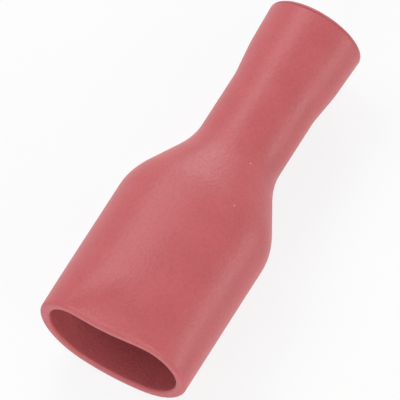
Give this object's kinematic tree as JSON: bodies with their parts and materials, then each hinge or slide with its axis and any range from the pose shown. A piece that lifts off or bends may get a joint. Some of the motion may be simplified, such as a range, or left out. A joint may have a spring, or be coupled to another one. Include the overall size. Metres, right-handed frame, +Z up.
{
  "type": "female spade terminal",
  "caption": "Insulated push-on terminal: a soft red sleeve over a folded tinned receptacle for a flat tab, with a crimp barrel and a wire entry.",
  "frame": {"origin": "on the surface that the terminal lies on, under the middle of its length and width", "axes": "+Y along the terminal from the mouth to the wire entry, +X across the tab, +Z up out of the wide face that it lies on"},
  "size_m": [0.0096, 0.0234, 0.0076],
  "materials": {
    "sleeve_vinyl": "soft matte vinyl with a very fine grain",
    "tinned_brass": "bright tin plating over brass strip"
  },
  "bodies": {
    "root": {"insulation_sleeve": "sleeve_vinyl", "receptacle": "tinned_brass"}
  },
  "joints": []
}
